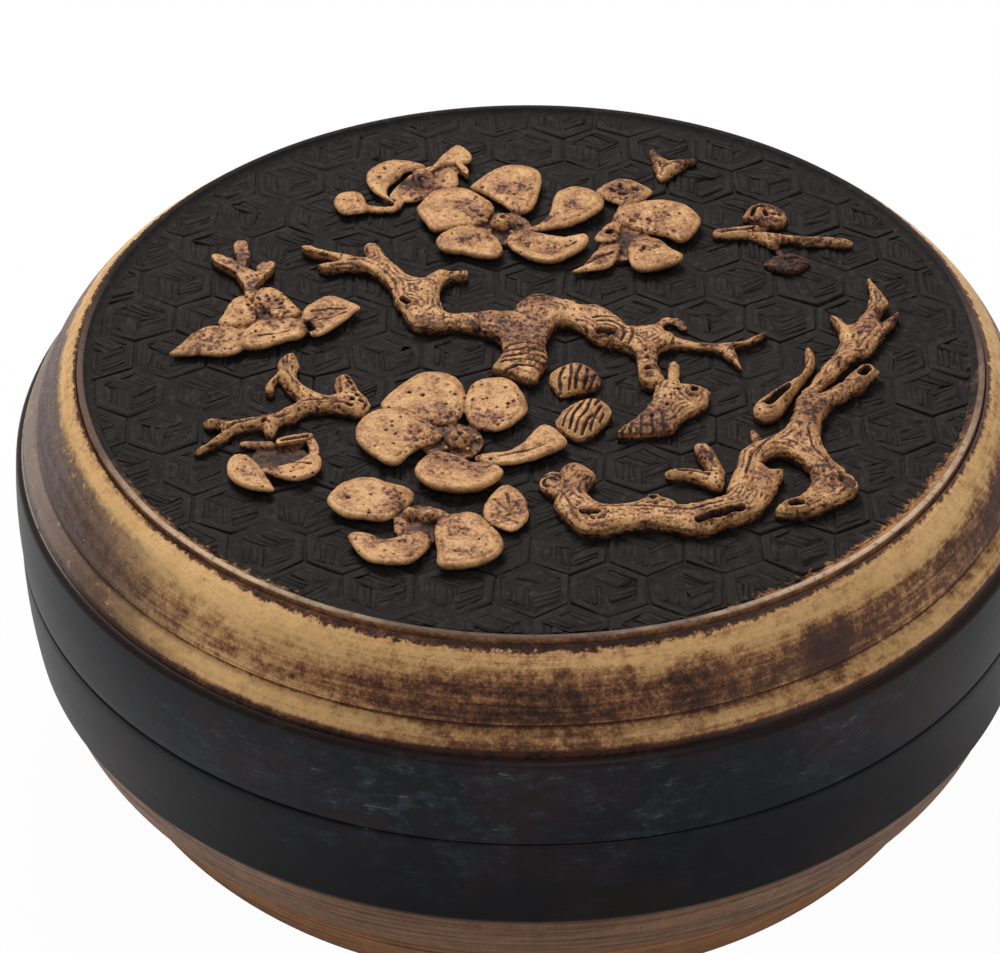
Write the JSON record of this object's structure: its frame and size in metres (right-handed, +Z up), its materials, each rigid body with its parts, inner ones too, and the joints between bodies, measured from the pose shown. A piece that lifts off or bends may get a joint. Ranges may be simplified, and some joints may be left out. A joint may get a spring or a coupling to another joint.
{
  "type": "kogo incense box",
  "caption": "Small round lidded box for incense, black wall with worn gilt mouldings, carved plum branches on a hexagon-patterned lid, lift-off lid over an inner rim.",
  "frame": {"origin": "middle of the foot ring's lower face, on the table", "axes": "+Z up, the way the lid lifts; -Y towards the viewer of the carving"},
  "size_m": [0.0782, 0.0782, 0.0362],
  "materials": {
    "foot_wood": "worn brown and gilt lacquer on wood",
    "black_lacquer": "aged black lacquer on wood, satin",
    "worn_gilt_lacquer": "gilt worn to brown on wood, satin",
    "black_ground": "carved black lacquer, matt",
    "branch_gilt": "pitted gilt carving, satin",
    "petal_gilt": "gilt carving, satin"
  },
  "bodies": {
    "body": {"foot_ring": "foot_wood", "body_bowl": "black_lacquer", "inner_rim": "black_lacquer"},
    "lid": {"lid_ring": "worn_gilt_lacquer", "top_panel": "black_ground", "main_branch": "branch_gilt", "lower_branch": "branch_gilt", "left_twig": "branch_gilt", "right_twig": "branch_gilt", "corner_twig": "branch_gilt", "leaf_twig": "branch_gilt", "drop_twig": "branch_gilt", "back_blossom": "petal_gilt", "back_right_blossom": "petal_gilt", "back_left_buds": "petal_gilt", "left_blossom": "petal_gilt", "half_blossom": "petal_gilt", "front_blossom": "petal_gilt", "front_lower_blossom": "petal_gilt", "upper_striped_bud": "branch_gilt", "lower_striped_bud": "branch_gilt"}
  },
  "joints": [
    {"name": "lid_lift", "type": "slide", "parent": "body", "child": "lid", "axis": [0, 0, 1], "range_m": [0, 0.04]}
  ]
}
